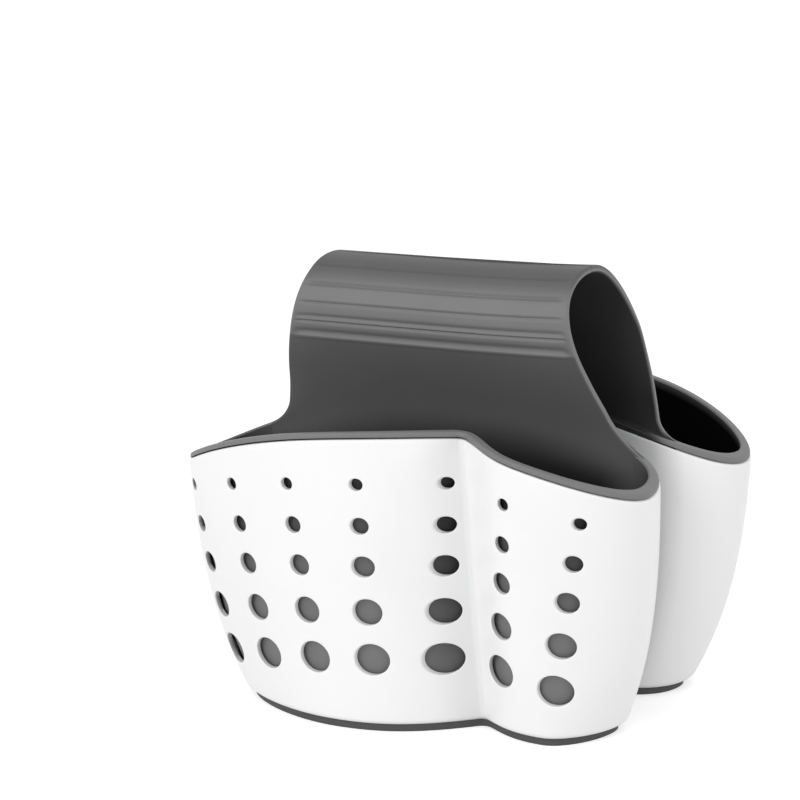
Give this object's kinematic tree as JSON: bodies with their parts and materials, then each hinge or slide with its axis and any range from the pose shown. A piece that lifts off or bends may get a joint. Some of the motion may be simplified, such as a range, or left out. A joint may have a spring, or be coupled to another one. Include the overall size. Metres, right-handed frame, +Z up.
{
  "type": "kitchen sink saddle caddy",
  "caption": "Double saddle caddy for a kitchen sink: two perforated hard baskets with soft liners, joined back to back by a wide flexible ribbed saddle.",
  "frame": {"origin": "on the standing surface, under the middle of the caddy", "axes": "+X along the baskets, towards the front basket's small lobe; +Y from the front basket to the back basket; +Z up"},
  "size_m": [0.191, 0.1738, 0.1682],
  "materials": {
    "white_pp": "satin",
    "grey_tpr": "matte"
  },
  "bodies": {
    "crest": {"saddle_crest": "grey_tpr"},
    "front_flex": {"front_flex_band": "grey_tpr"},
    "front_basket": {"front_shell": "white_pp", "front_liner": "grey_tpr", "front_foot_pad": "grey_tpr", "front_saddle_leg": "grey_tpr"},
    "back_flex": {"back_flex_band": "grey_tpr"},
    "back_basket": {"back_shell": "white_pp", "back_liner": "grey_tpr", "back_foot_pad": "grey_tpr", "back_saddle_leg": "grey_tpr"}
  },
  "joints": [
    {"name": "front_saddle_bend", "type": "hinge", "parent": "crest", "child": "front_flex", "pos_m": [0, -0.02523, 0.1608], "axis": [-1, 0, 0], "range_deg": [-2, 20], "stiffness_Nm_per_rad": 0.1},
    {"name": "front_basket_swing", "type": "hinge", "parent": "front_flex", "child": "front_basket", "pos_m": [0, -0.02677, 0.1384], "axis": [-1, 0, 0], "range_deg": [-2, 20], "stiffness_Nm_per_rad": 0.1},
    {"name": "back_saddle_bend", "type": "hinge", "parent": "crest", "child": "back_flex", "pos_m": [0, 0.01695, 0.1586], "axis": [1, 0, 0], "range_deg": [-2, 20], "stiffness_Nm_per_rad": 0.1},
    {"name": "back_basket_swing", "type": "hinge", "parent": "back_flex", "child": "back_basket", "pos_m": [0, 0.02006, 0.1362], "axis": [1, 0, 0], "range_deg": [-2, 20], "stiffness_Nm_per_rad": 0.1}
  ],
  "couplings": [
    {"joint": "front_saddle_bend", "follows": "front_basket_swing", "ratio": 1},
    {"joint": "back_saddle_bend", "follows": "back_basket_swing", "ratio": 1}
  ]
}
